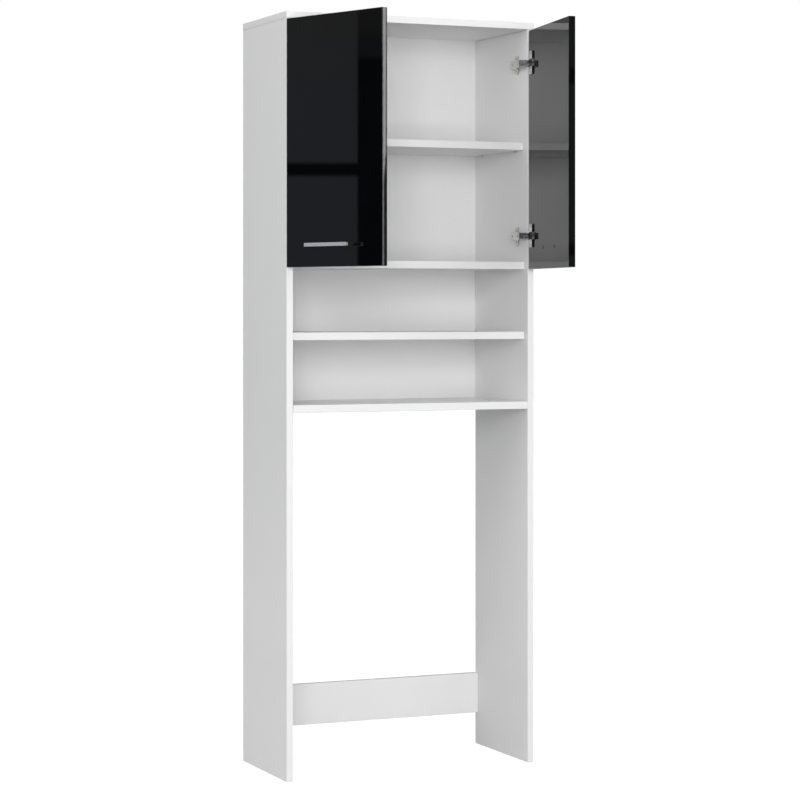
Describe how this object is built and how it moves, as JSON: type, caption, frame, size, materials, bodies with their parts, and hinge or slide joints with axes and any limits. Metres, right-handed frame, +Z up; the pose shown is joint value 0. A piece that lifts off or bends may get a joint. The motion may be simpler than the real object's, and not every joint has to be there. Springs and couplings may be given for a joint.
{
  "type": "bathroom cabinet",
  "caption": "Tall, shallow bathroom cabinet that stands over a machine, with a two-door compartment above open shelves.",
  "frame": {"origin": "on the floor under the middle of the bounding box, with the doors standing open as pictured", "axes": "+Z up, +Y towards the wall behind the cabinet, +X to the right seen from the front"},
  "size_m": [0.6568, 0.6173, 1.792],
  "materials": {
    "white_board": "particle board with a white melamine face, satin",
    "white_hardboard": "thin hardboard with a white face",
    "black_gloss": "fibre board with a high-gloss black film on both faces and the edges",
    "handle_metal": "satin aluminium",
    "nickel_steel": "nickel-plated steel",
    "beech": "bare beech"
  },
  "bodies": {
    "carcass": {"back_panel": "white_hardboard", "bottom_shelf": "white_board", "bottom_shelf_left_front_dowel": "beech", "bottom_shelf_left_rear_dowel": "beech", "bottom_shelf_right_front_dowel": "beech", "bottom_shelf_right_rear_dowel": "beech", "compartment_floor": "white_board", "compartment_floor_left_front_dowel": "beech", "compartment_floor_left_rear_dowel": "beech", "compartment_floor_right_front_dowel": "beech", "compartment_floor_right_rear_dowel": "beech", "inner_shelf": "white_board", "left_lower_hinge_arm": "nickel_steel", "left_lower_hinge_plate": "nickel_steel", "left_side_panel": "white_board", "left_upper_hinge_arm": "nickel_steel", "left_upper_hinge_plate": "nickel_steel", "open_shelf": "white_board", "open_shelf_left_front_dowel": "beech", "open_shelf_left_rear_dowel": "beech", "open_shelf_right_front_dowel": "beech", "open_shelf_right_rear_dowel": "beech", "rear_rail": "white_board", "rear_rail_left_dowel": "beech", "rear_rail_right_dowel": "beech", "right_lower_hinge_arm": "nickel_steel", "right_lower_hinge_plate": "nickel_steel", "right_side_panel": "white_board", "right_upper_hinge_arm": "nickel_steel", "right_upper_hinge_plate": "nickel_steel", "shelf_pin_left_front": "nickel_steel", "shelf_pin_left_rear": "nickel_steel", "shelf_pin_right_front": "nickel_steel", "shelf_pin_right_rear": "nickel_steel", "top_left_front_dowel": "beech", "top_left_rear_dowel": "beech", "top_panel": "white_board", "top_right_front_dowel": "beech", "top_right_rear_dowel": "beech"},
    "left_door_leaf": {"left_door": "black_gloss", "left_handle": "handle_metal", "left_handle_inner_screw": "nickel_steel", "left_handle_outer_screw": "nickel_steel", "left_lower_hinge_cup": "nickel_steel", "left_upper_hinge_cup": "nickel_steel"},
    "left_hinge_links": {"left_upper_hinge_link": "nickel_steel", "left_lower_hinge_link": "nickel_steel"},
    "left_hinge_guides": {"left_upper_hinge_guide": "nickel_steel", "left_lower_hinge_guide": "nickel_steel"},
    "right_door_leaf": {"right_door": "black_gloss", "right_handle": "handle_metal", "right_handle_inner_screw": "nickel_steel", "right_handle_outer_screw": "nickel_steel", "right_lower_hinge_cup": "nickel_steel", "right_upper_hinge_cup": "nickel_steel"},
    "right_hinge_links": {"right_upper_hinge_link": "nickel_steel", "right_lower_hinge_link": "nickel_steel"},
    "right_hinge_guides": {"right_upper_hinge_guide": "nickel_steel", "right_lower_hinge_guide": "nickel_steel"}
  },
  "joints": [
    {"name": "left_link_pivot", "type": "hinge", "parent": "carcass", "child": "left_hinge_links", "pos_m": [-0.2839, 0.0048, 1.484], "axis": [0, 0, -1], "range_deg": [-8.87, 19.23]},
    {"name": "left_door_hinge", "type": "hinge", "parent": "left_hinge_links", "child": "left_door_leaf", "pos_m": [-0.30589, -0.00444, 1.484], "axis": [0, 0, -1], "range_deg": [-87.68, 40.32]},
    {"name": "left_guide_pivot", "type": "hinge", "parent": "carcass", "child": "left_hinge_guides", "pos_m": [-0.294, -0.001, 1.484], "axis": [0, 0, -1], "range_deg": [-12.49, 27.11]},
    {"name": "right_link_pivot", "type": "hinge", "parent": "carcass", "child": "right_hinge_links", "pos_m": [0.2839, 0.0048, 1.484], "axis": [0, 0, 1], "range_deg": [-5.51, 22.59]},
    {"name": "right_door_hinge", "type": "hinge", "parent": "right_hinge_links", "child": "right_door_leaf", "pos_m": [0.30531, -0.00571, 1.484], "axis": [0, 0, 1], "range_deg": [-103.04, 24.96]},
    {"name": "right_guide_pivot", "type": "hinge", "parent": "carcass", "child": "right_hinge_guides", "pos_m": [0.294, -0.001, 1.484], "axis": [0, 0, 1], "range_deg": [-7.75, 31.85]}
  ],
  "couplings": [
    {"joint": "left_link_pivot", "follows": "left_door_hinge", "ratio": -0.21875},
    {"joint": "left_guide_pivot", "follows": "left_door_hinge", "ratio": -0.30859},
    {"joint": "right_link_pivot", "follows": "right_door_hinge", "ratio": -0.21875},
    {"joint": "right_guide_pivot", "follows": "right_door_hinge", "ratio": -0.30859}
  ]
}
